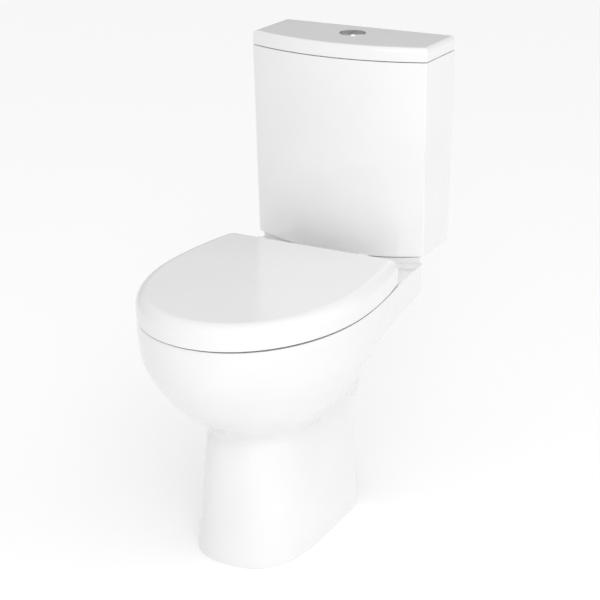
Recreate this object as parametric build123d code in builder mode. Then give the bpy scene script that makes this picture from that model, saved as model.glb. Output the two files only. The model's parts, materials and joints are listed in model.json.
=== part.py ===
from build123d import *
from math import asin, cos, sin, sqrt
import os

os.makedirs("parts", exist_ok=True)

# Close coupled toilet: floor-standing pan, cistern with dual flush, soft-close seat.
# +Z up, +X to the right when facing the toilet, front towards -Y, wall at +Y.
# The origin is on the floor, in the middle of the toilet's box. Millimetres.
# Distances called d, nose, rear, widest or reach are measured out from the wall.

# ---- driving dimensions ------------------------------------------------------------
DEPTH = 620.0          # wall to the tip of the seat lid
HEIGHT = 790.0         # floor to the top of the flush buttons
WALL_Y = DEPTH / 2     # the wall's plane
FIT = 0.05             # radial clearance of a running fit
GAP = 0.4              # clearance between moving pieces that never touch

# pan
RIM_Z = 418.0          # top of the pan's rim
PAN_HALF = 178.5       # half the width of the rim
PAN_WIDEST = 372.0
PAN_NOSE = 615.5
SHELF_Z = 428.0        # raised platform that the cistern stands on
PLATE_Z = 402.0        # underside of the shelf and of the seat ledge
PLATE_HALF = 92.0      # half width of the shelf
CERAMIC = 12.0         # wall of the pan and its trap
FOOT_NOSE = 504.0
FOOT_REAR = 212.0
FOOT_WIDEST = 362.0
OUTLET_Z = 190.0       # axis of the waste outlet
OUTLET_D = 128.0       # its end
OUTLET_R = 51.0
OUTLET_LENGTH = 48.0
OUTLET_BORE = 39.0
TRAP_R = 46.0          # trapway, outside
TRAP_BORE = 35.0

# cistern
TANK_Z = 430.0
TANK_TOP = 764.0
TANK_WALL = 9.0
TANK_FLOOR = 442.0     # inside bottom
SEAM = 1.6             # gap under the cistern lid
LID_TOP = 788.4
LID_CEILING = 777.0
WALL_SCREW_X = 100.0   # two screws through the back of the tank
WALL_SCREW_Z = 715.0
WALL_SCREW_R = 4.5
VALVE_D = 64.0         # flush valve, buttons and coupling bolts
VALVE_HOLE_R = 31.0
BOLT_X = 75.0          # coupling bolts
BOLT_R = 4.0
FILL_X = -112.0        # fill valve
FILL_TAIL_R = 10.48    # half inch pipe thread
FILL_SHANK_R = 12.0    # thicker shank through the tank, for the backnut

# seat
SEAT_HALF = 180.0
SEAT_BOTTOM = 421.5    # lower edge of the lid's skirt
SEAT_TOP = 460.0
SEAT_REAR = 205.0
LID_SHELL = 4.0
RING_Z = 427.0
RING_TOP = 446.0
HINGE_X = 77.5
HINGE_D = 217.0
HINGE_Z = 434.0
PIN_R = 4.0

FLOAT_RISE = 14.0      # travel of the fill valve's float


def from_wall(distance):
    """y of a point this far in front of the wall."""
    return WALL_Y - distance


def at(x, distance, z=0.0):
    """Location from x, distance from the wall, and height."""
    return Location((x, from_wall(distance), z))


def level(z):
    """Horizontal plane at a height."""
    return Plane.XY.offset(z)


def finish(builder, name):
    """Label a piece and write its file."""
    builder.part.label = name
    export_step(builder.part, f"parts/{name}.step")


def egg(half, nose, rear_half, rear, widest=PAN_WIDEST, corner=12.0, fullness=2.1, lean=0.0):
    """Outline with a rounded nose and sides that run back to a straight rear edge.

    A fullness of 2 makes the nose an ellipse, and more than 2 a squarer one.
    """
    handle = (8 * 0.5 ** (1 / fullness) - 4) / 3
    shoulder = from_wall(widest)
    tip = from_wall(nose)
    back = from_wall(rear)
    with BuildSketch() as face:
        with BuildLine():
            Bezier((0, tip), (half * handle, tip),
                   (half, shoulder + (tip - shoulder) * handle), (half, shoulder))
            Spline((half, shoulder), (rear_half, back), tangents=((0, 1), (-lean, 1)))
            Line((rear_half, back), (0, back))
            mirror(about=Plane.YZ)
        make_face()
        fillet(face.vertices().group_by(Axis.Y)[-1], corner)
    return face.sketch


def loft_eggs(rows, grow=0.0, corner=14.0, **shape):
    """Loft egg outlines given as height, half width, nose, rear half width, rear."""
    sections = []
    for z, half, nose, rear_half, rear in rows:
        face = egg(half + grow, nose + grow, rear_half + grow, rear - grow, corner=corner, **shape)
        sections.append(level(z) * face)
    with BuildPart() as body:
        loft(sections)
    return body.part


# ---- pan ---------------------------------------------------------------------------
# height, half width, nose, rear half width, rear
BOWL_OUTSIDE = [
    (RIM_Z, PAN_HALF, PAN_NOSE, 157, 98),
    (395, 179, 616, 157, 98),
    (372, 177.5, 613, 156, 98),
    (352, 175, 608, 147, 99),
    (332, 169, 599, 129, 104),
    (308, 157.5, 582, 105, 127),
    (280, 141, 559, 87, 162),
    (250, 117.5, 525.5, 75, 202),
    (220, 89.5, 489, 60, 240),
    (196, 66, 456, 42, 272),
]
BOWL_INSIDE = [
    (374, 164, 600, 100, 286),
    (332, 156, 586, 98, 288),
    (290, 134, 553, 86, 294),
    (250, 104, 512, 68, 302),
    (215, 72, 471, 50, 310),
    (170, 50, 446, 38, 322),
    (110, 41, 428, 32, 336),
    (61, 31, 414, 25, 350),
]
SUMP_ROWS = BOWL_INSIDE[4:-1] + [(61 - CERAMIC, 31, 414, 25, 350)]
FOOT_OUTSIDE = [
    (0, 96.0, FOOT_NOSE, 94.0, FOOT_REAR),
    (100, 88.4, 496, 87.4, FOOT_REAR),
    (195, 81.6, 487, 81.0, FOOT_REAR),
    (262, 78.5, 479, 78.0, FOOT_REAR),
]
FOOT_VOID = [
    (-1, 96.0, FOOT_NOSE, 94.0, FOOT_REAR - 30),
    (100, 88.4, 496, 87.4, FOOT_REAR - 30),
    (184, 82.3, 488, 81.6, FOOT_REAR - 30),
]
FOOT_LEDGE = 14.0                       # height of the screw ledges inside the foot
FOOT_SCREW_X = 66.0
FOOT_SCREW_D = 238.0
FOOT_SCREW_R = 4.0
RIM_OPENING = (130, 572, 88, 294)       # half width, nose, rear half width, rear
INLET_R = 49.5                          # recess for the doughnut seal
INLET_Z = 401.0                         # bottom of the recess
INLET_BORE = 32.0
DUCT_HALF = 50.0                        # flush duct under the shelf
DUCT_BORE = 34.0
DUCT_Z = 362.0
DUCT_FLOOR = 376.0
DUCT_ROOF = 396.0
REAR_HOLLOWS = ((182, 250, 292), (250, PLATE_Z, 272))     # bottom, top, reach
WINDOW_X = (50.0, 120.0)                # openings at the back to reach the wing nuts
WINDOW_Z = 345.0
FOOT_SHAPE = {"widest": FOOT_WIDEST, "corner": 8.0, "fullness": 2.6}
TRAP_BEND = 56.0
TRAP_PATH = [(384, 100), (345, 100), (262, 258), (190, OUTLET_Z), (OUTLET_D, OUTLET_Z)]
TRAP_POINTS = [(0, from_wall(d), z) for d, z in TRAP_PATH]
# the pan is one ceramic piece, divided here at flat planes so that each collision shape is
# simple: bottom, top, nearest and farthest from the wall
CASTINGS = {
    "pan_rim": (DUCT_Z, SHELF_Z, 0, DEPTH),
    "pan_bowl": (196, DUCT_Z, 272, DEPTH),
    "pan_back": (196, DUCT_Z, 0, 272),
    "pan_foot": (0, 196, 0, DEPTH),
}
# the same for the trapway: nearest and farthest from the wall
TRAP_CASTINGS = {"pan_outlet": (0, 178), "pan_trap": (178, 330), "pan_sump": (330, DEPTH)}


def rear_hollow(bottom, top, reach):
    """Part of the hollow behind the bowl, from the wall out to its reach."""
    with BuildPart() as hollow:
        add(loft_eggs(BOWL_OUTSIDE, grow=-CERAMIC, corner=10.0))
        with Locations(at(0, reach / 2, (bottom + top) / 2)):
            Box(400, reach, top - bottom, mode=Mode.INTERSECT)
    return hollow.part


def trap_tube(radius):
    """Solid bar of this radius along the trapway."""
    with BuildPart() as tube:
        with BuildLine() as route:
            FilletPolyline(*TRAP_POINTS, radius=TRAP_BEND)
        with BuildSketch(Plane(TRAP_POINTS[0], z_dir=(0, 1, 0))):
            Circle(radius)
        sweep(path=route.wires()[0])
    return tube.part


with BuildPart() as trap_outside:
    add(loft_eggs(SUMP_ROWS, grow=CERAMIC))
    add(trap_tube(TRAP_R))
    with Locations(at(0, OUTLET_D + OUTLET_LENGTH / 2, OUTLET_Z)):
        Cylinder(OUTLET_R, OUTLET_LENGTH, rotation=(90, 0, 0))

with BuildPart() as pan:
    add(loft_eggs(BOWL_OUTSIDE, corner=16.0))
    add(loft_eggs(FOOT_OUTSIDE, **FOOT_SHAPE))
    add(loft_eggs(FOOT_VOID, grow=-CERAMIC, **FOOT_SHAPE), mode=Mode.SUBTRACT)
    # hollow behind the bowl, open into the foot and, at the back, through two windows
    for bottom, top, reach in REAR_HOLLOWS:
        add(rear_hollow(bottom, top, reach), mode=Mode.SUBTRACT)
    for side in (-1, 1):
        with Locations(at(side * sum(WINDOW_X) / 2, 110, (WINDOW_Z + PLATE_Z) / 2)):
            Box(WINDOW_X[1] - WINDOW_X[0], 60, PLATE_Z - WINDOW_Z, mode=Mode.SUBTRACT)
    # shelf behind the rim, its platform under the cistern, and the flush duct
    with BuildSketch(level(PLATE_Z)):
        with Locations(at(0, 75)):
            RectangleRounded(2 * PLATE_HALF, 90, 10)
    extrude(amount=RIM_Z - PLATE_Z)
    with BuildSketch(level(RIM_Z - 1)):
        add(egg(PAN_HALF, PAN_NOSE, 157, 98, corner=16.0))
        with Locations(at(0, 75)):
            RectangleRounded(2 * PLATE_HALF, 90, 10)
        with Locations(at(0, 90)):
            Rectangle(300, 116, mode=Mode.INTERSECT)
        with BuildLine():
            ThreePointArc((-154, from_wall(101)), (0, from_wall(151)), (154, from_wall(101)))
            Polyline((154, from_wall(101)), (154, WALL_Y), (-154, WALL_Y), (-154, from_wall(101)))
        make_face(mode=Mode.INTERSECT)
    extrude(amount=SHELF_Z - RIM_Z + 1)
    with Locations(at(0, 165, (DUCT_Z + PLATE_Z) / 2)):
        Box(2 * DUCT_HALF, 270, PLATE_Z - DUCT_Z)
    # sump and trapway
    add(trap_outside.part)
    add(trap_tube(TRAP_BORE), mode=Mode.SUBTRACT)
    with Locations(at(0, OUTLET_D + OUTLET_LENGTH / 2, OUTLET_Z)):
        Cylinder(OUTLET_BORE, OUTLET_LENGTH, rotation=(90, 0, 0), mode=Mode.SUBTRACT)
    # bowl, rim opening and flush gallery
    add(loft_eggs(BOWL_INSIDE), mode=Mode.SUBTRACT)
    with BuildSketch(level(RIM_Z)):
        add(egg(*RIM_OPENING))
    extrude(amount=-60, mode=Mode.SUBTRACT)
    with BuildSketch(level(374)):
        add(egg(156, 592, 98, 286, corner=14.0))
    extrude(amount=20, mode=Mode.SUBTRACT)
    # flush inlet and duct to the gallery
    with Locations(at(0, VALVE_D, SHELF_Z)):
        Hole(INLET_R, depth=SHELF_Z - INLET_Z)
        Hole(INLET_BORE, depth=SHELF_Z - DUCT_FLOOR)
    with Locations(at(0, 185, (DUCT_FLOOR + DUCT_ROOF) / 2)):
        Box(2 * DUCT_BORE, 230, DUCT_ROOF - DUCT_FLOOR, mode=Mode.SUBTRACT)
    # coupling and hinge bolt holes
    with Locations(at(BOLT_X, VALVE_D, SHELF_Z), at(-BOLT_X, VALVE_D, SHELF_Z)):
        Hole(BOLT_R + 2, depth=60)
    with Locations(at(HINGE_X, HINGE_D, RIM_Z), at(-HINGE_X, HINGE_D, RIM_Z)):
        Hole(PIN_R + 3, depth=40)
    # screw ledges in the foot
    with Locations(at(FOOT_SCREW_X, FOOT_SCREW_D, FOOT_LEDGE / 2),
                   at(-FOOT_SCREW_X, FOOT_SCREW_D, FOOT_LEDGE / 2)):
        Box(46, 48, FOOT_LEDGE)
    with Locations(at(FOOT_SCREW_X, FOOT_SCREW_D, FOOT_LEDGE),
                   at(-FOOT_SCREW_X, FOOT_SCREW_D, FOOT_LEDGE)):
        Hole(FOOT_SCREW_R, depth=FOOT_LEDGE + 1)

for name, (near, far) in TRAP_CASTINGS.items():
    with BuildPart() as casting:
        add(pan.part)
        add(trap_outside.part, mode=Mode.INTERSECT)
        with Locations(at(0, (near + far) / 2, DUCT_Z / 2)):
            Box(400, far - near, DUCT_Z, mode=Mode.INTERSECT)
    finish(casting, name)

for name, (bottom, top, near, far) in CASTINGS.items():
    with BuildPart() as casting:
        add(pan.part)
        with Locations(at(0, (near + far) / 2, (bottom + top) / 2)):
            Box(400, far - near, top - bottom, mode=Mode.INTERSECT)
        add(trap_outside.part, mode=Mode.SUBTRACT)
    finish(casting, name)


# ---- cistern tank and lid ----------------------------------------------------------
TANK_BOTTOM_PLAN = (158.0, 106.5, 154.0)     # half width, front corners, front centre
TANK_TOP_PLAN = (160.5, 120.5, 155.0)


def tank_outline(plan, inset=0.0, corner=5.0, back=0.0):
    """Bowed-front outline of the cistern, set in by a wall thickness."""
    half, corner_d, centre_d = [value - inset for value in plan]
    rear = from_wall(back + inset)
    with BuildSketch() as face:
        with BuildLine():
            ThreePointArc((-half, from_wall(corner_d)), (0, from_wall(centre_d)),
                          (half, from_wall(corner_d)))
            Polyline((half, from_wall(corner_d)), (half, rear),
                     (-half, rear), (-half, from_wall(corner_d)))
        make_face()
        fillet(face.vertices().group_by(Axis.Y)[0], corner)
        fillet(face.vertices().group_by(Axis.Y)[-1], 6.0)
    return face.sketch


def valve_plan(z):
    """Location on the flush valve's axis."""
    return at(0, VALVE_D, z)


with BuildPart() as tank:
    # the walls lean, so the loft runs past the wall and is trimmed to a true plane
    loft([level(TANK_Z) * tank_outline(TANK_BOTTOM_PLAN, back=-1.0),
          level(TANK_TOP) * tank_outline(TANK_TOP_PLAN, back=-1.0)])
    fillet(tank.faces().sort_by(Axis.Z)[0].edges(), 3.0)
    fillet(tank.faces().sort_by(Axis.Z)[-1].edges(), 1.2)
    with Locations(at(0, -5, (TANK_Z + TANK_TOP) / 2)):
        Box(400, 10, 400, mode=Mode.SUBTRACT)
    loft([level(TANK_FLOOR) * tank_outline(TANK_BOTTOM_PLAN, TANK_WALL, 4.0),
          level(TANK_TOP) * tank_outline(TANK_TOP_PLAN, TANK_WALL, 4.0)], mode=Mode.SUBTRACT)
    with Locations(valve_plan(TANK_FLOOR)):
        Hole(VALVE_HOLE_R, depth=20)
    with Locations(at(BOLT_X, VALVE_D, TANK_FLOOR), at(-BOLT_X, VALVE_D, TANK_FLOOR)):
        Hole(BOLT_R + 3, depth=20)
    with Locations(at(FILL_X, VALVE_D, TANK_FLOOR)):
        Hole(FILL_SHANK_R + 0.6, depth=20)
    # two screw holes through the back wall, high up
    with Locations(Plane((0, WALL_Y, WALL_SCREW_Z), x_dir=(1, 0, 0), z_dir=(0, 1, 0))):
        with Locations((-WALL_SCREW_X, 0), (WALL_SCREW_X, 0)):
            Hole(WALL_SCREW_R, depth=TANK_WALL + 6)
finish(tank, "cistern_tank")

LID_SEAT = TANK_TOP + SEAM
BUTTON_HOLE_R = 21.4

with BuildPart() as cistern_lid:
    with BuildSketch(level(LID_SEAT)):
        add(tank_outline(TANK_TOP_PLAN))
    extrude(amount=LID_TOP - LID_SEAT)
    fillet(cistern_lid.faces().sort_by(Axis.Z)[-1].edges(), 7.0)
    with BuildSketch(level(LID_SEAT)):
        add(tank_outline(TANK_TOP_PLAN, TANK_WALL, 6.0))
    extrude(amount=LID_CEILING - LID_SEAT, mode=Mode.SUBTRACT)
    # locating rib that drops inside the tank
    with BuildSketch(level(LID_SEAT - 8)):
        add(tank_outline(TANK_TOP_PLAN, TANK_WALL + 3, 5.0))
        add(tank_outline(TANK_TOP_PLAN, TANK_WALL + 8, 4.0), mode=Mode.SUBTRACT)
    extrude(amount=LID_CEILING - LID_SEAT + 9)
    with Locations(valve_plan(LID_TOP)):
        Hole(BUTTON_HOLE_R, depth=30)
finish(cistern_lid, "cistern_lid")

with BuildPart() as cistern_lid_pads:
    with Locations(at(0, 4.5, TANK_TOP + SEAM / 2)):
        with GridLocations(220, 0, 2, 1):
            Box(14, 6, SEAM - 0.1)
    with Locations(at(0, 65, TANK_TOP + SEAM / 2)):
        with GridLocations(2 * 154.2, 0, 2, 1):
            Box(5, 16, SEAM - 0.1)
finish(cistern_lid_pads, "cistern_lid_pads")


# ---- flush buttons -----------------------------------------------------------------
BEZEL_R = 22.6
BEZEL_TUBE = (20.9, 19.4)          # outer and inner radius
BEZEL_FLOOR = 764.0
BUTTON_R = 19.0
BUTTON_SLIT = 0.5                  # half the gap between the two halves
BUTTON_BASE = 779.0
ROD_X = 8.0
ROD_R = 2.0
ROD_END = 690.5
SPRING_R = 4.2
SPRING_WIRE = 0.8

with BuildPart() as button_bezel:
    with BuildSketch(Plane.XZ.offset(-from_wall(VALVE_D))) as profile:
        with BuildLine():
            Polyline((3.2, BEZEL_FLOOR), (BEZEL_TUBE[0], BEZEL_FLOOR), (BEZEL_TUBE[0], LID_TOP + 0.1),
                     (BEZEL_R, LID_TOP + 0.1), (BEZEL_R - 0.5, LID_TOP + 1.2),
                     (BEZEL_TUBE[1] + 0.5, LID_TOP + 1.4), (BEZEL_TUBE[1], LID_TOP + 0.9),
                     (BEZEL_TUBE[1], BEZEL_FLOOR + 2), (3.2, BEZEL_FLOOR + 2), close=True)
        make_face()
    revolve(axis=Axis((0, from_wall(VALVE_D), 0), (0, 0, 1)))
    with Locations(valve_plan(BEZEL_FLOOR + 1)):
        Cylinder(3.3, 2)
    with Locations(at(ROD_X, VALVE_D, BEZEL_FLOOR + 2), at(-ROD_X, VALVE_D, BEZEL_FLOOR + 2)):
        Hole(ROD_R + 0.4, depth=3)
finish(button_bezel, "button_bezel")

with BuildPart() as button_lock_nut:
    with BuildSketch(level(LID_CEILING - 8.2)):
        with Locations(valve_plan(0)):
            RegularPolygon(28, 8, rotation=22.5)
            Circle(BEZEL_TUBE[0] + 0.05, mode=Mode.SUBTRACT)
    extrude(amount=8)
finish(button_lock_nut, "button_lock_nut")

for name, side in (("half_flush_button", -1), ("full_flush_button", 1)):
    with BuildPart() as button:
        with Locations(valve_plan((BUTTON_BASE + HEIGHT) / 2)):
            Cylinder(BUTTON_R, HEIGHT - BUTTON_BASE)
        fillet(button.faces().sort_by(Axis.Z)[-1].edges(), 1.6)
        with Locations(at(-side * (50 - BUTTON_SLIT), VALVE_D, HEIGHT)):
            Box(100, 100, 60, mode=Mode.SUBTRACT)
        with Locations(at(side * ROD_X, VALVE_D, BUTTON_BASE - 3)):
            Cylinder(ROD_R + 1.0, 6)
            Cylinder(ROD_R, 7, mode=Mode.SUBTRACT)
    finish(button, name)

for name, side in (("half_push_rod", -1), ("full_push_rod", 1)):
    with BuildPart() as rod:
        with Locations(at(side * ROD_X, VALVE_D, (ROD_END + BUTTON_BASE) / 2)):
            Cylinder(ROD_R, BUTTON_BASE - ROD_END)
        with Locations(at(side * ROD_X, VALVE_D, ROD_END + 2)):
            Cylinder(ROD_R + 1.5, 4)
    finish(rod, name)

SPRING_FLOOR = BEZEL_FLOOR + 2 + SPRING_WIRE / 2
SPRING_HEIGHT = BUTTON_BASE - BEZEL_FLOOR - 2 - SPRING_WIRE - 0.2
for name, side in (("half_button_spring", -1), ("full_button_spring", 1)):
    with BuildPart() as spring:
        with BuildLine() as coil:
            Helix(pitch=SPRING_HEIGHT / 5, height=SPRING_HEIGHT, radius=SPRING_R,
                  center=(side * ROD_X, from_wall(VALVE_D), SPRING_FLOOR))
        with BuildSketch(Plane(coil.line @ 0, z_dir=coil.line % 0)):
            Circle(SPRING_WIRE / 2)
        sweep(path=coil.line, is_frenet=True)
    finish(spring, name)


# ---- flush valve -------------------------------------------------------------------
VALVE_BASE_Z = TANK_FLOOR + 3.0        # flange sits on a rubber washer
VALVE_SEAT_Z = 452.0
TAIL_R = 29.5
TAIL_BORE = 24.0
TAIL_END = 403.0
CAGE_R = 37.0
CAGE_WALL = 2.6
CAGE_TOP = 566.0
TOWER_TOP = 672.0
HOUSING_TOP = 684.0
OVERFLOW_R = 15.0
OVERFLOW_TOP = 640.0
DISC_R = 30.0

with BuildPart() as flush_valve_base:
    with Locations(valve_plan((TAIL_END + VALVE_BASE_Z) / 2)):
        Cylinder(TAIL_R, VALVE_BASE_Z - TAIL_END)
    with Locations(valve_plan(VALVE_BASE_Z + 2)):
        Cylinder(42, 4)
    with Locations(valve_plan((VALVE_BASE_Z + VALVE_SEAT_Z) / 2)):
        Cylinder(27, VALVE_SEAT_Z - VALVE_BASE_Z)
    with Locations(valve_plan(430)):
        Cylinder(TAIL_BORE, 120, mode=Mode.SUBTRACT)
finish(flush_valve_base, "flush_valve_base")

with BuildPart() as flush_valve_washer:
    with Locations(valve_plan(TANK_FLOOR + 1.5)):
        Cylinder(41, 3)
        Cylinder(TAIL_R + 0.1, 4, mode=Mode.SUBTRACT)
finish(flush_valve_washer, "flush_valve_washer")

with BuildPart() as flush_valve_backnut:
    with BuildSketch(level(417)):
        with Locations(valve_plan(0)):
            RegularPolygon(37, 8, rotation=22.5)
            Circle(TAIL_R + 0.05, mode=Mode.SUBTRACT)
    extrude(amount=12.8)
finish(flush_valve_backnut, "flush_valve_backnut")

with BuildPart() as doughnut_seal:
    with Locations(valve_plan((INLET_Z + 0.2 + TANK_Z - 0.1) / 2)):
        Cylinder(48.5, TANK_Z - INLET_Z - 0.3)
        Cylinder(38, 40, mode=Mode.SUBTRACT)
    fillet(doughnut_seal.edges().filter_by(GeomType.CIRCLE).group_by(SortBy.RADIUS)[-1], 4.0)
finish(doughnut_seal, "doughnut_seal")

with BuildPart() as flush_valve_cage:
    cage_z = VALVE_BASE_Z + 4
    with Locations(valve_plan((cage_z + CAGE_TOP) / 2)):
        Cylinder(CAGE_R, CAGE_TOP - cage_z)
        Cylinder(CAGE_R - CAGE_WALL, CAGE_TOP - cage_z, mode=Mode.SUBTRACT)
    with Locations(valve_plan(CAGE_TOP + 1.5)):
        Cylinder(CAGE_R, 3)
        Cylinder(OVERFLOW_R + 0.8, 4, mode=Mode.SUBTRACT)
    # four water windows
    with Locations(valve_plan(cage_z + 28)):
        with PolarLocations(CAGE_R, 4, start_angle=45):
            Box(20, 34, 38, mode=Mode.SUBTRACT)
    # two struts up to the actuator housing
    with Locations(valve_plan((CAGE_TOP + TOWER_TOP) / 2)):
        with GridLocations(2 * 26, 0, 2, 1):
            Box(4, 16, TOWER_TOP - CAGE_TOP)
finish(flush_valve_cage, "flush_valve_cage")

PLUNGER_R = 4.0
with BuildPart() as flush_valve_housing:
    with Locations(valve_plan((TOWER_TOP + HOUSING_TOP) / 2)):
        Cylinder(34, HOUSING_TOP - TOWER_TOP)
    fillet(flush_valve_housing.faces().sort_by(Axis.Z)[-1].edges(), 2.0)
    with Locations(at(ROD_X, VALVE_D, HOUSING_TOP), at(-ROD_X, VALVE_D, HOUSING_TOP)):
        Hole(PLUNGER_R + FIT, depth=20)
finish(flush_valve_housing, "flush_valve_housing")

for name, side in (("half_flush_plunger", -1), ("full_flush_plunger", 1)):
    with BuildPart() as plunger:
        with Locations(at(side * ROD_X, VALVE_D, (664 + ROD_END - GAP) / 2)):
            Cylinder(PLUNGER_R, ROD_END - GAP - 664)
        with Locations(at(side * ROD_X, VALVE_D, 666)):
            Cylinder(PLUNGER_R + 1.6, 4)
    finish(plunger, name)

with BuildPart() as flush_riser:
    with Locations(valve_plan((VALVE_SEAT_Z + 2 + OVERFLOW_TOP) / 2)):
        Cylinder(OVERFLOW_R, OVERFLOW_TOP - VALVE_SEAT_Z - 2)
    with Locations(valve_plan(VALVE_SEAT_Z + 4)):
        Cylinder(DISC_R, 4)
    with Locations(valve_plan((VALVE_SEAT_Z + OVERFLOW_TOP) / 2)):
        Cylinder(OVERFLOW_R - 2.2, 260, mode=Mode.SUBTRACT)
finish(flush_riser, "flush_riser")

with BuildPart() as flush_valve_seal:
    with Locations(valve_plan(VALVE_SEAT_Z + 1.1)):
        Cylinder(DISC_R, 1.6)
        Cylinder(OVERFLOW_R - 1.0, 4, mode=Mode.SUBTRACT)
finish(flush_valve_seal, "flush_valve_seal")

with BuildPart() as half_flush_float:
    with Locations(valve_plan(522)):
        Cylinder(31, 36)
        Cylinder(OVERFLOW_R, 40, mode=Mode.SUBTRACT)
    fillet(half_flush_float.edges().filter_by(GeomType.CIRCLE).group_by(SortBy.RADIUS)[-1], 3.0)
finish(half_flush_float, "half_flush_float")


# ---- cistern fixings ---------------------------------------------------------------
BOLT_PLACES = [(BOLT_X, VALVE_D), (-BOLT_X, VALVE_D)]
HINGE_PLACES = [(HINGE_X, HINGE_D), (-HINGE_X, HINGE_D)]


def stack(places, *pieces):
    """Coaxial rings at each place: outer radius, inner radius, bottom, top."""
    with BuildPart() as body:
        for outer, inner, bottom, top in pieces:
            with Locations([at(x, d, (bottom + top) / 2) for x, d in places]):
                Cylinder(outer, top - bottom)
                if inner:
                    Cylinder(inner, top - bottom, mode=Mode.SUBTRACT)
    return body


def wing_nuts(places, top, bore):
    """Round nuts with two rounded wings each."""
    with BuildPart() as body:
        with Locations([at(x, d, top - 5) for x, d in places]):
            Cylinder(9, 10)
        for side in (-1, 1):
            with Locations([at(x + side * 12.5, d, top - 7) for x, d in places]):
                Box(12, 3.4, 14)
        fillet(body.edges().filter_by(Axis.Y).group_by(Axis.Z)[0], 2.5)
        with Locations([at(x, d, top - 5) for x, d in places]):
            Cylinder(bore, 40, mode=Mode.SUBTRACT)
    return body


finish(stack(BOLT_PLACES, (10, 0, 446.6, 451.0), (BOLT_R, 0, 366, 448)), "coupling_bolts")
finish(stack(BOLT_PLACES, (13, BOLT_R + FIT, TANK_FLOOR, 446.5),
             (BOLT_R + 2.8, BOLT_R + FIT, TANK_Z + 1, TANK_FLOOR)), "coupling_bolt_seals")
finish(stack(BOLT_PLACES, (14, BOLT_R + 0.3, PLATE_Z - 3.0, PLATE_Z - 0.1)), "coupling_washers")
finish(wing_nuts(BOLT_PLACES, PLATE_Z - 3.1, BOLT_R + FIT), "coupling_wing_nuts")
finish(stack([(118, 96), (-118, 96)], (9, 0, SHELF_Z, TANK_Z)), "cistern_rest_pads")


# ---- fill valve --------------------------------------------------------------------
FILL = (FILL_X, VALVE_D)
FILL_TUBE_R = 9.0
FILL_HEAD_Z = 690.0
FILL_HEAD_R = 19.0
FLOAT_Z = (600.0, 650.0)
FLOAT_R = 25.0
LEVER_ARM = 40.0
LEVER_X = FILL_X + 24.0
LEVER_Z = 708.0
LEVER_TILT = asin(FLOAT_RISE / 2 / LEVER_ARM)      # radians, tip down at rest
LINK_X = LEVER_X + LEVER_ARM
LINK_R = 1.5

with BuildPart() as fill_valve_body:
    for radius, bottom, top in ((FILL_TAIL_R, 388, 421), (FILL_SHANK_R, 421, 446),
                                (18, 445, 450), (FILL_TUBE_R, 450, FILL_HEAD_Z + 2)):
        with Locations(at(*FILL, (bottom + top) / 2)):
            Cylinder(radius, top - bottom)
    with Locations(at(*FILL, 400)):
        Cylinder(6, 100, mode=Mode.SUBTRACT)
    with Locations(at(*FILL, 598)):
        Cylinder(13, 4)
finish(fill_valve_body, "fill_valve_body")

with BuildPart() as fill_valve_head:
    with Locations(at(*FILL, FILL_HEAD_Z + 10)):
        Cylinder(FILL_HEAD_R, 20)
    with Locations(at(*FILL, FILL_HEAD_Z + 1)):
        Cylinder(FILL_TUBE_R, 2, mode=Mode.SUBTRACT)
    # ears for the lever's pin
    for side in (-1, 1):
        with Locations(at(LEVER_X - 1, VALVE_D + side * 6, LEVER_Z - 3)):
            Box(16, 3, 16)
    with Locations(at(LEVER_X, VALVE_D, LEVER_Z)):
        Cylinder(1.5, 40, rotation=(90, 0, 0), mode=Mode.SUBTRACT)
finish(fill_valve_head, "fill_valve_head")

finish(stack([FILL], (14, 0, FILL_HEAD_Z + 20, FILL_HEAD_Z + 27)), "fill_valve_cap")

with BuildPart() as fill_lever_pin:
    with Locations(at(LEVER_X, VALVE_D, LEVER_Z)):
        Cylinder(1.5, 17, rotation=(90, 0, 0))
finish(fill_lever_pin, "fill_lever_pin")

LEVER_PLANE = Plane(origin=(LEVER_X, from_wall(VALVE_D), LEVER_Z),
                    x_dir=(cos(LEVER_TILT), 0, -sin(LEVER_TILT)), z_dir=(0, -1, 0))
with BuildPart() as fill_lever:
    with BuildSketch(LEVER_PLANE):
        with Locations((LEVER_ARM / 2 + 2, 0)):
            SlotOverall(LEVER_ARM + 12, 8)
        Circle(1.5 + FIT, mode=Mode.SUBTRACT)
    extrude(amount=4, both=True)
    with Locations(LEVER_PLANE * Location((LEVER_ARM, 0, 0))):
        Box(6.4, 20, 4.4, mode=Mode.SUBTRACT)
finish(fill_lever, "fill_lever")

with BuildPart() as fill_float:
    with Locations(at(*FILL, sum(FLOAT_Z) / 2)):
        Cylinder(FLOAT_R, FLOAT_Z[1] - FLOAT_Z[0])
    fillet(fill_float.edges().filter_by(GeomType.CIRCLE), 3.0)
    with Locations(at((FILL_X + LINK_X) / 2 + 9, VALVE_D, FLOAT_Z[1] - 6)):
        Box(LINK_X - FILL_X - 12, 7, 5)
    with Locations(at(*FILL, 620)):
        Cylinder(FILL_TUBE_R + 0.5, 100, mode=Mode.SUBTRACT)
    with Locations(at(LINK_X, VALVE_D, FLOAT_Z[1] - 6)):
        Cylinder(LINK_R, 10, mode=Mode.SUBTRACT)
finish(fill_float, "fill_float")

finish(stack([(LINK_X, VALVE_D)], (LINK_R, 0, FLOAT_Z[1] - 9, LEVER_Z + 6)), "fill_link_rod")
finish(stack([FILL], (18, FILL_SHANK_R + FIT, TANK_FLOOR, 445)), "fill_valve_washer")

with BuildPart() as fill_valve_backnut:
    with BuildSketch(level(TANK_Z - 8.1)):
        with Locations(at(*FILL)):
            RegularPolygon(17, 6)
            Circle(FILL_SHANK_R + FIT, mode=Mode.SUBTRACT)
    extrude(amount=8)
finish(fill_valve_backnut, "fill_valve_backnut")


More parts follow.
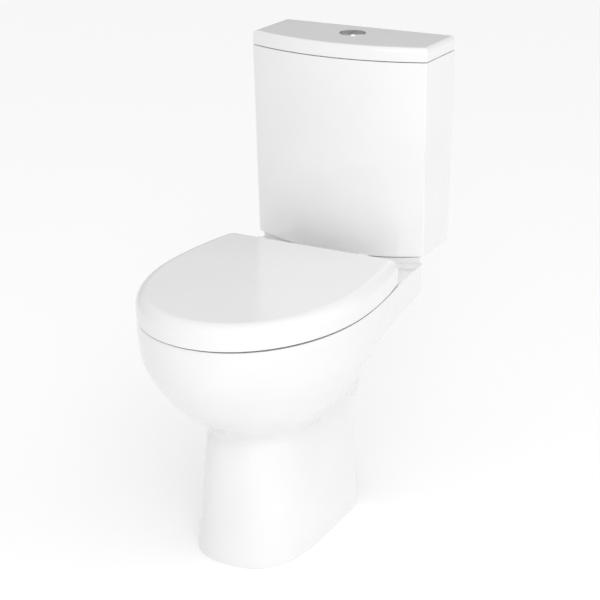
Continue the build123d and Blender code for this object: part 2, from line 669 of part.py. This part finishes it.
# ---- seat --------------------------------------------------------------------------
SEAT_EDGE = 19.0           # rounding of the lid's upper edge
RING_INSET = 7.0
RING_REAR = 231.0
LUG_R = 8.0
RING_LUG_X = (52.0, 68.0)
LID_LUG_X = (87.0, 103.0)
POST_R = 7.5


def seat_outline(inset=0.0, rear=SEAT_REAR, corner=22.0):
    """D-shaped outline: elliptical front, gently narrowing sides, straight rear."""
    half = SEAT_HALF - inset
    rear_half = half * sqrt(1 - ((PAN_WIDEST - rear - inset) / 366.0) ** 2)
    return egg(half, DEPTH - inset, rear_half, rear + inset, corner=corner - inset / 2,
               fullness=2.05, lean=0.23)


def across(x_range, distance, z, radius, **options):
    """Cylinder along X between two x values, on both sides of the middle."""
    middle = (x_range[0] + x_range[1]) / 2
    with Locations(at(middle, distance, z), at(-middle, distance, z)):
        Cylinder(radius, x_range[1] - x_range[0], rotation=(0, 90, 0), **options)


def lid_slab(inset, bottom):
    """Block of the lid's outline, set in at the sides and the top, upper edge rounded."""
    with BuildPart() as slab:
        with BuildSketch(level(bottom)):
            add(seat_outline(inset))
        extrude(amount=SEAT_TOP - inset - bottom)
        fillet(slab.faces().sort_by(Axis.Z)[-1].edges(), SEAT_EDGE - inset)
    return slab.part


with BuildPart() as seat_lid:
    add(lid_slab(0.0, SEAT_BOTTOM))
    add(lid_slab(LID_SHELL, SEAT_BOTTOM - 1), mode=Mode.SUBTRACT)
    # bevel under the rear edge, so that it swings clear of the rim
    with BuildSketch(Plane.YZ):
        with BuildLine():
            Polyline((from_wall(203), 426.6), (from_wall(211.5), 419.9), (from_wall(203), 419.9),
                     close=True)
        make_face()
    extrude(amount=200, both=True, mode=Mode.SUBTRACT)
    # notch in the rear wall for the hinges
    with Locations(at(0, SEAT_REAR, SEAT_BOTTOM)):
        Box(2 * 112, 30, 2 * 22.5, mode=Mode.SUBTRACT)
    # hinge lugs under the lid
    middle = sum(LID_LUG_X) / 2
    with Locations(at(middle, HINGE_D, (HINGE_Z + 457) / 2), at(-middle, HINGE_D, (HINGE_Z + 457) / 2)):
        Box(LID_LUG_X[1] - LID_LUG_X[0], 2 * LUG_R, 457 - HINGE_Z)
    across(LID_LUG_X, HINGE_D, HINGE_Z, LUG_R)
    across((80, 130), HINGE_D, HINGE_Z, PIN_R + FIT, mode=Mode.SUBTRACT)
finish(seat_lid, "seat_lid")

with BuildPart() as seat_ring:
    with BuildSketch(level(RING_Z)):
        add(seat_outline(RING_INSET, rear=RING_REAR - RING_INSET))
        add(egg(114, 560, 90, 298, corner=50.0), mode=Mode.SUBTRACT)
    extrude(amount=RING_TOP - RING_Z)
    fillet(seat_ring.faces().sort_by(Axis.Z)[-1].edges(), 6.0)
    middle = sum(RING_LUG_X) / 2
    for x in (middle, -middle):
        with Locations(at(x, (HINGE_D + RING_REAR + 8) / 2, HINGE_Z)):
            Box(RING_LUG_X[1] - RING_LUG_X[0], RING_REAR + 8 - HINGE_D, 2 * LUG_R - 2)
    across(RING_LUG_X, HINGE_D, HINGE_Z, LUG_R - 1)
    across((45, 75), HINGE_D, HINGE_Z, PIN_R + FIT, mode=Mode.SUBTRACT)
finish(seat_ring, "seat_ring")

finish(stack([(85, 552), (-85, 552), (140, 300), (-140, 300)], (8, 0, RIM_Z + 0.3, RING_Z)),
       "ring_buffers")
finish(stack([(85, 545), (-85, 545), (135, 320), (-135, 320)],
             (7, 0, RING_TOP + 0.3, SEAT_TOP - LID_SHELL - 0.05)), "lid_buffers")

with BuildPart() as hinge_base_caps:
    with Locations([at(x, d, 419.9) for x, d in HINGE_PLACES]):
        Cylinder(19, 1.8)
    fillet(hinge_base_caps.faces().filter_by(Plane.XY).group_by(Axis.Z)[-1].edges(), 1.0)
finish(hinge_base_caps, "hinge_base_caps")

with BuildPart() as hinge_posts:
    with Locations([at(x, d, (420.8 + HINGE_Z) / 2) for x, d in HINGE_PLACES]):
        Cylinder(POST_R, HINGE_Z - 420.8)
    across((HINGE_X - POST_R, HINGE_X + POST_R), HINGE_D, HINGE_Z, POST_R)
    across((HINGE_X - 12, HINGE_X + 12), HINGE_D, HINGE_Z, PIN_R, mode=Mode.SUBTRACT)
finish(hinge_posts, "hinge_posts")

with BuildPart() as hinge_pins:
    across((50, 126), HINGE_D, HINGE_Z, PIN_R)
finish(hinge_pins, "hinge_pins")

with BuildPart() as hinge_dampers:
    across((104, 128), HINGE_D, HINGE_Z, 7.0)
    across((104, 126), HINGE_D, HINGE_Z, PIN_R, mode=Mode.SUBTRACT)
finish(hinge_dampers, "hinge_dampers")

finish(stack(HINGE_PLACES, (18, PIN_R + 0.2, RIM_Z, RIM_Z + 1.0)), "hinge_base_washers")
finish(stack(HINGE_PLACES, (4, 0, 360, 419.0)), "hinge_bolts")
finish(stack(HINGE_PLACES, (13, PIN_R + 0.3, PLATE_Z - 3, PLATE_Z - 0.1)), "hinge_bolt_washers")
finish(wing_nuts(HINGE_PLACES, PLATE_Z - 3.1, PIN_R + FIT), "hinge_wing_nuts")
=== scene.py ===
"""Looks of the close coupled toilet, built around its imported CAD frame. Metres."""
import json
import math

import bpy
from mathutils import Euler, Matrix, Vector
from mathutils.bvhtree import BVHTree


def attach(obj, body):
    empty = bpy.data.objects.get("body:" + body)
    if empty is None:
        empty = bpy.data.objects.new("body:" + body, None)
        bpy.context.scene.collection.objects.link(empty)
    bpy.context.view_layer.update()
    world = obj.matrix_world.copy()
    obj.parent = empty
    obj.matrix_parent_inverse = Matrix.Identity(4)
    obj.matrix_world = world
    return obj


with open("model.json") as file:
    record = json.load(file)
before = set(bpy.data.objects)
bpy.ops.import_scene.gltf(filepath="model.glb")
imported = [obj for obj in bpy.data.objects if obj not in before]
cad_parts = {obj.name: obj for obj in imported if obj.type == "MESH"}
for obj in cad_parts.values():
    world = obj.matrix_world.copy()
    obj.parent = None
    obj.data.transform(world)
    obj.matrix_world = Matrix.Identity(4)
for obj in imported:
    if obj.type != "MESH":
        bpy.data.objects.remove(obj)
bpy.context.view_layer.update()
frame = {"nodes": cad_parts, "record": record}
nodes = frame["nodes"]

# ---- camera: fitted to the photograph's seams and edges -----------------------------
CAMERA_PLACE = (1.1672, -2.1481, 1.3169)
CAMERA_AZIMUTH = 27.887          # degrees, from straight ahead towards +X
CAMERA_PITCH = 20.701            # degrees below the horizon
CAMERA_LENS = 96.0               # mm
CAMERA_SENSOR = 36.0             # mm
CAMERA_REACH = 50.0              # how far away it still draws


def make_camera():
    """Camera on the object's front right, looking down at it."""
    data = bpy.data.cameras.new("camera")
    data.sensor_width = CAMERA_SENSOR
    data.lens = CAMERA_LENS
    data.clip_end = CAMERA_REACH
    camera = bpy.data.objects.new("camera", data)
    camera.location = CAMERA_PLACE
    camera.rotation_euler = Euler((math.radians(90 - CAMERA_PITCH), 0,
                                   math.radians(CAMERA_AZIMUTH)))
    bpy.context.scene.collection.objects.link(camera)
    bpy.context.scene.camera = camera


# ---- materials ---------------------------------------------------------------------
TONE_BAND = (0.3, 0.7)           # part of a noise's range that a colour change spreads over


def set_sockets(node, **values):
    """Sets a node's input sockets by name, with _ for a space."""
    for key, value in values.items():
        node.inputs[key.replace("_", " ")].default_value = value


class Finish:
    """A material: one Principled shader whose colour, roughness and bump follow noises."""

    def __init__(self, name):
        self.material = bpy.data.materials.new(name)
        self.material.use_nodes = True
        self.tree = self.material.node_tree
        self.shader = self.tree.nodes["Principled BSDF"]

    def add(self, kind, **values):
        """Adds a node and sets its sockets by name."""
        node = self.tree.nodes.new(kind)
        set_sockets(node, **values)
        return node

    def link(self, a, out, b, into):
        self.tree.links.new(a.outputs[out], b.inputs[into])

    def noise(self, scale, detail=3.0):
        """Noise in object space; scale is features per metre."""
        noise = self.add("ShaderNodeTexNoise", Scale=scale, Detail=detail)
        self.link(self.add("ShaderNodeTexCoord"), "Object", noise, "Vector")
        return noise

    def colour(self, noise, low, high):
        """Colour that drifts between two colours."""
        ramp = self.add("ShaderNodeValToRGB")
        for element, position, colour in zip(ramp.color_ramp.elements, TONE_BAND, (low, high)):
            element.position = position
            element.color = (*colour, 1)
        self.link(noise, "Fac", ramp, "Fac")
        self.link(ramp, "Color", self.shader, "Base Color")

    def roughness(self, noise, low, high):
        """Roughness that varies from low to high."""
        span = self.add("ShaderNodeMapRange", To_Min=low, To_Max=high)
        self.link(noise, "Fac", span, "Value")
        self.link(span, "Result", self.shader, "Roughness")

    def bump(self, noise, distance, strength, after=None):
        """Bump of a height in metres, added to an earlier bump if there is one."""
        bump = self.add("ShaderNodeBump", Strength=strength, Distance=distance)
        self.link(noise, "Fac", bump, "Height")
        if after:
            self.link(after, "Normal", bump, "Normal")
        self.link(bump, "Normal", self.shader, "Normal")
        return bump


def glazed_ceramic():
    """Vitreous china: white body under a clear glaze with a faint orange peel."""
    m = Finish("glazed_ceramic")
    m.colour(m.noise(9.0, detail=2.0), low=(0.80, 0.803, 0.80), high=(0.825, 0.827, 0.822))
    m.roughness(m.noise(60.0), low=0.07, high=0.12)
    peel = m.bump(m.noise(260.0, detail=1.0), distance=0.00003, strength=0.35)
    m.bump(m.noise(26.0, detail=1.0), distance=0.0002, strength=0.35, after=peel)
    set_sockets(m.shader, IOR=1.5, Coat_Weight=0.35, Coat_Roughness=0.03)
    return m.material


def seat_plastic():
    """Gloss thermoset of the seat."""
    m = Finish("seat_plastic")
    m.colour(m.noise(7.0, detail=2.0), low=(0.81, 0.812, 0.81), high=(0.83, 0.83, 0.826))
    m.roughness(m.noise(140.0), low=0.13, high=0.19)
    m.bump(m.noise(420.0, detail=1.0), distance=0.00002, strength=0.3)
    set_sockets(m.shader, IOR=1.5)
    return m.material


def chrome():
    """Bright chrome with fine wiping marks."""
    m = Finish("chrome")
    m.colour(m.noise(40.0), low=(0.50, 0.51, 0.52), high=(0.62, 0.63, 0.64))
    m.roughness(m.noise(900.0, detail=4.0), low=0.04, high=0.14)
    m.bump(m.noise(1500.0, detail=2.0), distance=0.00001, strength=0.2)
    set_sockets(m.shader, Metallic=1.0)
    return m.material


def moulded(name, low, high, roughness=(0.38, 0.55)):
    """Moulded matt plastic or rubber with a spark-eroded grain."""
    m = Finish(name)
    m.colour(m.noise(30.0), low, high)
    m.roughness(m.noise(220.0), *roughness)
    m.bump(m.noise(1800.0, detail=2.0), distance=0.00004, strength=0.5)
    set_sockets(m.shader, IOR=1.5)
    return m.material


def plated_steel():
    """Zinc plated steel with blotches and fine scratches."""
    m = Finish("steel")
    m.colour(m.noise(160.0, detail=4.0), low=(0.42, 0.41, 0.38), high=(0.62, 0.62, 0.60))
    m.roughness(m.noise(500.0, detail=5.0), low=0.22, high=0.42)
    m.bump(m.noise(1400.0, detail=3.0), distance=0.00003, strength=0.4)
    set_sockets(m.shader, Metallic=1.0)
    return m.material


def make_materials():
    """One material for each slot of the record."""
    return {
        "glazed_ceramic": glazed_ceramic(),
        "seat_plastic": seat_plastic(),
        "chrome": chrome(),
        "valve_plastic": moulded("valve_plastic", (0.72, 0.73, 0.71), (0.80, 0.81, 0.79)),
        "grey_plastic": moulded("grey_plastic", (0.14, 0.15, 0.165), (0.19, 0.20, 0.215)),
        "blue_plastic": moulded("blue_plastic", (0.035, 0.10, 0.26), (0.05, 0.13, 0.31)),
        "black_rubber": moulded("black_rubber", (0.016, 0.016, 0.017), (0.032, 0.031, 0.03),
                                roughness=(0.6, 0.8)),
        "clear_rubber": moulded("clear_rubber", (0.56, 0.57, 0.56), (0.66, 0.67, 0.65),
                                roughness=(0.3, 0.45)),
        "steel": plated_steel(),
    }


def dress_nodes(materials):
    """Gives every CAD node the finish of its slot."""
    slots = {row["node"]: row["material_slot"] for row in frame["record"]["subparts"]}
    for name, obj in nodes.items():
        obj.data.materials.clear()
        obj.data.materials.append(materials[slots[name]])


# ---- soft crease between bowl and foot ----------------------------------------------
# The strip is measured as distances out from an upright axis through the pan.
CREASE_NODES = ("pan_bowl", "pan_foot", "pan_back")
CREASE_CENTRE = -0.040           # y of that axis
CREASE_REACH = 0.6               # how far out the measuring rays start
CREASE_SWEEP = math.radians(146)  # to each side of straight ahead
CREASE_FADE = 6.0                # how quickly the rounding fades out at both ends
CREASE_Z = (0.186, 0.300)        # lowest and highest row
CREASE_ROWS = 96
CREASE_COLUMNS = 220
CREASE_WIDTH = 0.013             # half width of the smoothing
TUCK = 0.0004                    # away from the crease, its depth inside the ceramic


def pan_surface():
    """The ceramic around the crease as one tree for ray casts."""
    depsgraph = bpy.context.evaluated_depsgraph_get()
    vertices, faces = [], []
    for name in CREASE_NODES:
        obj = nodes[name]
        mesh = obj.evaluated_get(depsgraph).to_mesh()
        base = len(vertices)
        vertices += [obj.matrix_world @ v.co for v in mesh.vertices]
        faces += [[base + i for i in p.vertices] for p in mesh.polygons]
    return BVHTree.FromPolygons(vertices, faces)


def pan_radii(angle, heights, surface):
    """Distance from the axis out to the pan's surface at each height, in one direction."""
    out = Vector((math.sin(angle), -math.cos(angle), 0))
    radii = []
    for z in heights:
        start = Vector((0, CREASE_CENTRE, z)) + out * CREASE_REACH
        hit, _, _, distance = surface.ray_cast(start, -out, CREASE_REACH)
        radii.append(CREASE_REACH - distance if hit else 0.0)
    return radii


def eased(values, spread):
    """Weighted average along a list, weights falling off linearly over a spread of steps."""
    result = []
    last = len(values) - 1
    for i in range(len(values)):
        total = weight_sum = 0.0
        for step in range(-spread, spread + 1):
            weight = spread + 1 - abs(step)
            total += weight * values[min(max(i + step, 0), last)]
            weight_sum += weight
        result.append(total / weight_sum)
    return result


def make_crease(material):
    """Strip of glaze that rounds the inner corner where the bowl meets the foot."""
    surface = pan_surface()
    step = (CREASE_Z[1] - CREASE_Z[0]) / (CREASE_ROWS - 1)
    heights = [CREASE_Z[0] + step * i for i in range(CREASE_ROWS)]
    spread = round(CREASE_WIDTH / step)
    points = []
    for column in range(CREASE_COLUMNS):
        angle = CREASE_SWEEP * (2 * column / (CREASE_COLUMNS - 1) - 1)
        rounding = min(1.0, CREASE_FADE * (1 - abs(angle) / CREASE_SWEEP))
        radii = pan_radii(angle, heights, surface)
        for z, plain, soft in zip(heights, radii, eased(radii, spread)):
            r = plain + (soft - plain) * rounding - TUCK
            points.append((r * math.sin(angle), CREASE_CENTRE - r * math.cos(angle), z))
    # Rows whose average would reach past the first or last height carry no faces.
    margin = spread + 1
    quads = []
    for column in range(CREASE_COLUMNS - 1):
        for row in range(margin, CREASE_ROWS - 1 - margin):
            a = column * CREASE_ROWS + row
            quads.append((a, a + CREASE_ROWS, a + CREASE_ROWS + 1, a + 1))
    mesh = bpy.data.meshes.new("pan_crease")
    mesh.from_pydata(points, [], quads)
    mesh.validate()
    for polygon in mesh.polygons:
        polygon.use_smooth = True
    obj = bpy.data.objects.new("pan_crease", mesh)
    bpy.context.scene.collection.objects.link(obj)
    obj.data.materials.append(material)
    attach(obj, "pan_and_cistern")


# ---- studio ------------------------------------------------------------------------
# Brightness of the surroundings by direction, one factor for each axis: the axis, where
# along it the change begins and ends, and the factor at the beginning and at the end.
SKY = (
    ("Z", (0.0, 1.0), (1.0, 1.12)),      # from the horizon to overhead
    ("X", (-1.0, 1.0), (0.5, 1.0)),      # from left to right
    ("Y", (0.55, 0.85), (1.0, 0.5)),     # towards straight behind the object
)
SKY_STRENGTH = 1.12
FLOOR_SIZE = 16.0
FLOOR_DROP = 0.0005              # below the object's base, so that the two don't coincide
FLOOR_GREY = 0.8
FLOOR_GLOW = 0.24
KEY_PLACE = (1.5, -2.4, 2.3)
KEY_AIM = (0, 0, 0.5)
KEY_SIZE = 1.6
KEY_POWER = 26                   # watts


def grey(value):
    return (value, value, value, 1)


def make_world():
    """Soft white surroundings, darker towards the left and straight behind."""
    world = bpy.data.worlds.new("studio")
    bpy.context.scene.world = world
    world.use_nodes = True
    tree = world.node_tree
    place = tree.nodes.new("ShaderNodeTexCoord")
    split = tree.nodes.new("ShaderNodeSeparateXYZ")
    tree.links.new(place.outputs["Generated"], split.inputs[0])
    level = None
    for axis, (start, end), (low, high) in SKY:
        span = tree.nodes.new("ShaderNodeMapRange")
        set_sockets(span, From_Min=start, From_Max=end, To_Min=low, To_Max=high)
        tree.links.new(split.outputs[axis], span.inputs["Value"])
        if level is None:
            level = span.outputs["Result"]
            continue
        product = tree.nodes.new("ShaderNodeMath")
        product.operation = "MULTIPLY"
        tree.links.new(level, product.inputs[0])
        tree.links.new(span.outputs["Result"], product.inputs[1])
        level = product.outputs["Value"]
    back = tree.nodes["Background"]
    tree.links.new(level, back.inputs["Color"])
    back.inputs["Strength"].default_value = SKY_STRENGTH


def make_floor():
    """Plain pale floor, wide enough to run out of the photograph's view on every side."""
    bpy.ops.mesh.primitive_plane_add(size=FLOOR_SIZE, location=(0, 0, -FLOOR_DROP))
    floor = bpy.context.object
    floor.name = "floor"
    m = Finish("floor")
    set_sockets(m.shader, Base_Color=grey(FLOOR_GREY), Roughness=0.7, Specular_IOR_Level=0.1,
                Emission_Color=grey(1.0), Emission_Strength=FLOOR_GLOW)
    floor.data.materials.append(m.material)


def make_key_light():
    """Square soft light from the front right."""
    data = bpy.data.lights.new("key", "AREA")
    data.size = KEY_SIZE
    data.energy = KEY_POWER
    light = bpy.data.objects.new("key", data)
    light.location = KEY_PLACE
    towards = Vector(KEY_AIM) - Vector(KEY_PLACE)
    light.rotation_euler = towards.to_track_quat("-Z", "Y").to_euler()
    bpy.context.scene.collection.objects.link(light)


materials = make_materials()
dress_nodes(materials)
make_crease(materials["glazed_ceramic"])
make_camera()
make_world()
make_floor()
bpy.context.scene.view_settings.view_transform = "Standard"
make_key_light()
